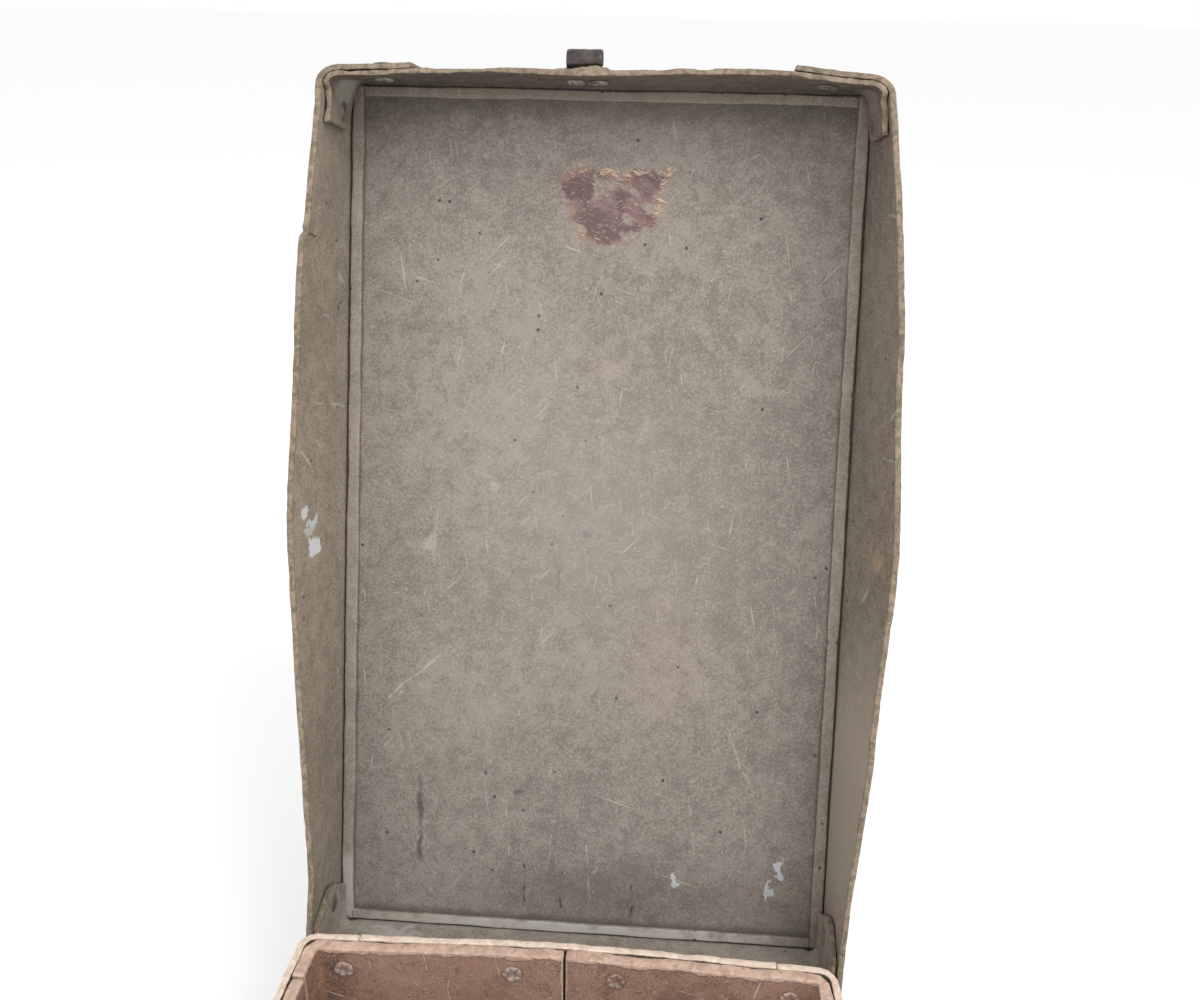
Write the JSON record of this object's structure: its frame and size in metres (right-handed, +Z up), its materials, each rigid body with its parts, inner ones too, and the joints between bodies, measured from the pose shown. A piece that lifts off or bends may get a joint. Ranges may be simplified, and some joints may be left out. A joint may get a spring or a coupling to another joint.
{
  "type": "riveted fibreboard lunch box",
  "caption": "Riveted fibreboard lunch box with a telescoping lid hinged on its short side, standing open, and a wire bail latch.",
  "frame": {"origin": "centre of the body's underside", "axes": "+Z up, +X to the right along the hinge line, +Y towards the hinge, so the latch side faces -Y; the lid stands open 108 degrees"},
  "size_m": [0.2142, 0.4746, 0.3767],
  "materials": {
    "grey_board": "worn matt vulcanised fibreboard, olive grey",
    "red_brown_board": "worn matt fibreboard, red brown, with torn pinkish edges",
    "dark_steel": "dark oxidised sheet steel"
  },
  "bodies": {
    "body": {"base_board": "grey_board", "body_side_left": "grey_board", "body_side_right": "grey_board", "body_wall_back": "grey_board", "body_wall_front": "grey_board", "catch_plate": "dark_steel", "catch_rivet_bottom": "dark_steel", "catch_rivet_top": "dark_steel", "hinge_leaf_body_left": "dark_steel", "hinge_leaf_body_right": "dark_steel", "hinge_packing_left": "grey_board", "hinge_packing_right": "grey_board", "hinge_pin_left": "dark_steel", "hinge_pin_right": "dark_steel", "hinge_rivet_body_left_a": "dark_steel", "hinge_rivet_body_left_b": "dark_steel", "hinge_rivet_body_right_a": "dark_steel", "hinge_rivet_body_right_b": "dark_steel", "liner_back_left": "red_brown_board", "liner_back_right": "red_brown_board", "liner_front": "red_brown_board", "liner_left": "red_brown_board", "liner_right": "red_brown_board", "liner_rivet_corner_left": "dark_steel", "liner_rivet_corner_right": "dark_steel", "liner_rivet_middle_left": "dark_steel", "liner_rivet_middle_right": "dark_steel"},
    "lid": {"hinge_leaf_lid_left": "dark_steel", "hinge_leaf_lid_right": "dark_steel", "hinge_rivet_lid_left_a": "dark_steel", "hinge_rivet_lid_left_b": "dark_steel", "hinge_rivet_lid_right_a": "dark_steel", "hinge_rivet_lid_right_b": "dark_steel", "keeper": "dark_steel", "keeper_rivet_left": "dark_steel", "keeper_rivet_right": "dark_steel", "lid_corner_rivet_front_left": "dark_steel", "lid_corner_rivet_front_right": "dark_steel", "lid_corner_rivet_hinge_left": "dark_steel", "lid_corner_rivet_hinge_right": "dark_steel", "lid_panel": "grey_board", "lid_strip_front": "grey_board", "lid_strip_hinge": "grey_board", "lid_strip_left": "grey_board", "lid_strip_right": "grey_board", "lid_wall_front": "grey_board", "lid_wall_hinge": "grey_board", "lid_wall_left": "grey_board", "lid_wall_right": "grey_board", "lid_wrap_rivet_front_left": "dark_steel", "lid_wrap_rivet_front_right": "dark_steel", "lid_wrap_rivet_hinge_left": "dark_steel", "lid_wrap_rivet_hinge_right": "dark_steel"},
    "bail": {"latch_bail": "dark_steel"}
  },
  "joints": [
    {"name": "lid_hinge", "type": "hinge", "parent": "body", "child": "lid", "pos_m": [0, 0.1636, 0.061], "axis": [1, 0, 0], "range_deg": [0, 108]},
    {"name": "bail_swing", "type": "hinge", "parent": "body", "child": "bail", "pos_m": [-0.006, -0.1654, 0.045], "axis": [-1, 0, 0], "range_deg": [0, 180]}
  ]
}
